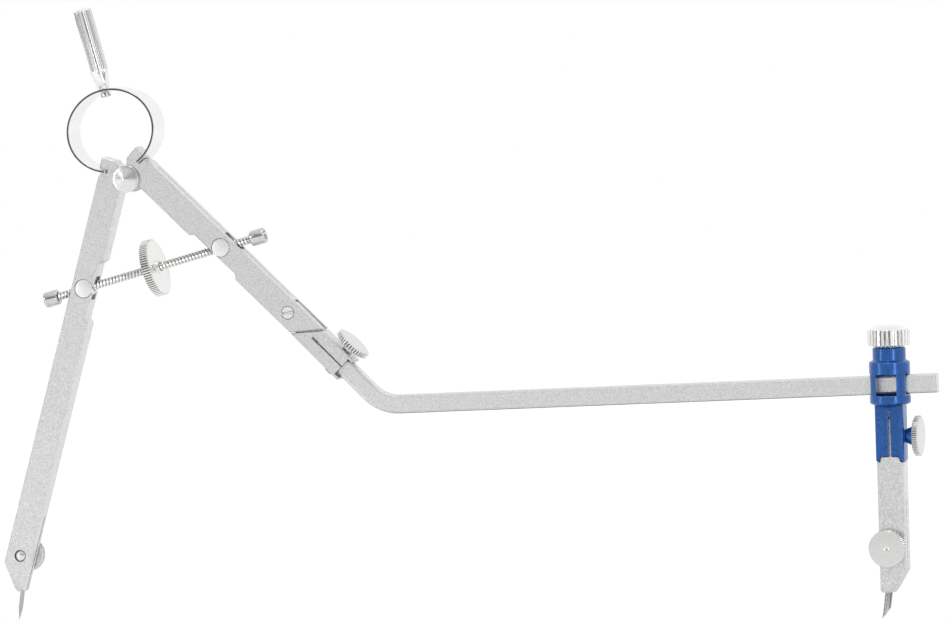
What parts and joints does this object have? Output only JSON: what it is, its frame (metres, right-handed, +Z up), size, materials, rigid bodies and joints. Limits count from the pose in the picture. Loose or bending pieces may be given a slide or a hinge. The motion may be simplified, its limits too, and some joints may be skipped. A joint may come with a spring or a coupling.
{
  "type": "spring bow drawing compass",
  "caption": "Spring bow compass with a centre wheel, a jointed leg and an extension bar that carries a sliding lead clamp.",
  "frame": {"origin": "middle of the twirling handle, on the handle's axis", "axes": "+Z up with both points on one level sheet, +X from the needle side towards the lead side, -Y the front; the handle's axis leans 14.7 degrees towards -X"},
  "size_m": [0.2687, 0.0162, 0.1712],
  "materials": {
    "satin_nickel": "sandblasted satin nickel",
    "knurled_nickel": "bright satin nickel with knurled rims",
    "polished_steel": "polished steel",
    "chromed_handle": "polished chrome",
    "spring_steel": "brushed spring steel",
    "blue_metal": "deep blue satin coat",
    "dark_needle_steel": "ground steel",
    "graphite": "drawing lead"
  },
  "bodies": {
    "head": {"handle": "chromed_handle", "handle_screw": "polished_steel", "ring_spring": "spring_steel", "pivot_roller": "satin_nickel", "pivot_flange": "satin_nickel"},
    "left_leg": {"left_leg": "satin_nickel"},
    "right_leg": {"right_leg": "satin_nickel", "knee_screw": "satin_nickel"},
    "left_nut": {"left_spindle_nut": "satin_nickel"},
    "right_nut": {"right_spindle_nut": "satin_nickel"},
    "spindle": {"spindle": "polished_steel"},
    "wheel": {"adjusting_wheel": "knurled_nickel", "left_spindle_cap": "polished_steel", "right_spindle_cap": "polished_steel"},
    "needle": {"needle": "dark_needle_steel"},
    "needle_screw": {"needle_screw": "knurled_nickel"},
    "knee_socket": {"knee_socket": "satin_nickel"},
    "socket_screw": {"socket_screw": "knurled_nickel"},
    "extension_bar": {"extension_bar": "satin_nickel"},
    "clamp_body": {"clamp_body": "blue_metal"},
    "clamp_screw": {"clamp_screw": "knurled_nickel"},
    "fork_screw": {"fork_screw": "knurled_nickel"},
    "lead_holder": {"lead_holder": "satin_nickel"},
    "lead_screw": {"lead_screw": "knurled_nickel"},
    "lead": {"lead": "graphite"}
  },
  "joints": [
    {"name": "leg_opening", "type": "hinge", "parent": "head", "child": "left_leg", "pos_m": [0.0095, 0, -0.03622], "axis": [0, 1, 0], "range_deg": [-30, 4], "deforming": ["ring_spring"]},
    {"name": "right_leg_opening", "type": "hinge", "parent": "head", "child": "right_leg", "pos_m": [0.0095, 0, -0.03622], "axis": [0, -1, 0], "range_deg": [-30, 4]},
    {"name": "left_nut_turn", "type": "hinge", "parent": "left_leg", "child": "left_nut", "pos_m": [-0.0043, 0, -0.06658], "axis": [0, -1, 0], "range_deg": [-30, 4]},
    {"name": "right_nut_turn", "type": "hinge", "parent": "right_leg", "child": "right_nut", "pos_m": [0.03643, 0, -0.0559], "axis": [0, 1, 0], "range_deg": [-30, 4]},
    {"name": "spindle_travel", "type": "slide", "parent": "left_nut", "child": "spindle", "axis": [0.9673, 0, 0.2538], "range_m": [-0.0155, 0.0025]},
    {"name": "wheel_turn", "type": "hinge", "parent": "spindle", "child": "wheel", "pos_m": [0.01607, 0, -0.06124], "axis": [0.9673, 0, 0.2538], "range_deg": [-5440, 730]},
    {"name": "needle_reach", "type": "slide", "parent": "left_leg", "child": "needle", "axis": [-0.1599, 0, -0.9871], "range_m": [0, 0.006]},
    {"name": "needle_screw_turn", "type": "hinge", "parent": "left_leg", "child": "needle_screw", "pos_m": [-0.026, 0, -0.14115], "axis": [0, 1, 0], "range_deg": [0, 540]},
    {"name": "knee_fold", "type": "hinge", "parent": "right_leg", "child": "knee_socket", "pos_m": [0.05539, 0, -0.07421], "axis": [0, 1, 0], "range_deg": [0, 45]},
    {"name": "socket_screw_turn", "type": "hinge", "parent": "knee_socket", "child": "socket_screw", "pos_m": [0.06885, 0, -0.08763], "axis": [0.7059, 0, 0.7083], "range_deg": [0, 540]},
    {"name": "bar_pull", "type": "slide", "parent": "knee_socket", "child": "extension_bar", "axis": [0.7083, 0, -0.7059], "range_m": [0, 0.012]},
    {"name": "clamp_travel", "type": "slide", "parent": "extension_bar", "child": "clamp_body", "axis": [-0.9997, 0, -0.0262], "range_m": [-0.006, 0.13]},
    {"name": "clamp_screw_turn", "type": "hinge", "parent": "clamp_body", "child": "clamp_screw", "pos_m": [0.22462, 0, -0.0963], "axis": [0, 0, 1], "range_deg": [0, 720]},
    {"name": "fork_screw_turn", "type": "hinge", "parent": "clamp_body", "child": "fork_screw", "pos_m": [0.22462, 0, -0.1102], "axis": [1, 0, 0], "range_deg": [0, 540]},
    {"name": "holder_pull", "type": "slide", "parent": "clamp_body", "child": "lead_holder", "axis": [0, 0, -1], "range_m": [0, 0.012]},
    {"name": "lead_screw_turn", "type": "hinge", "parent": "lead_holder", "child": "lead_screw", "pos_m": [0.22357, 0, -0.14026], "axis": [0, -1, 0], "range_deg": [0, 540]},
    {"name": "lead_reach", "type": "slide", "parent": "lead_holder", "child": "lead", "axis": [-0.1426, 0, -0.9898], "range_m": [0, 0.008]}
  ],
  "couplings": [
    {"joint": "right_leg_opening", "follows": "leg_opening", "ratio": 1},
    {"joint": "left_nut_turn", "follows": "leg_opening", "ratio": 1},
    {"joint": "right_nut_turn", "follows": "leg_opening", "ratio": 1},
    {"joint": "spindle_travel", "follows": "leg_opening", "m_per_rad": 0.0288},
    {"joint": "wheel_turn", "follows": "leg_opening", "ratio": 181}
  ]
}
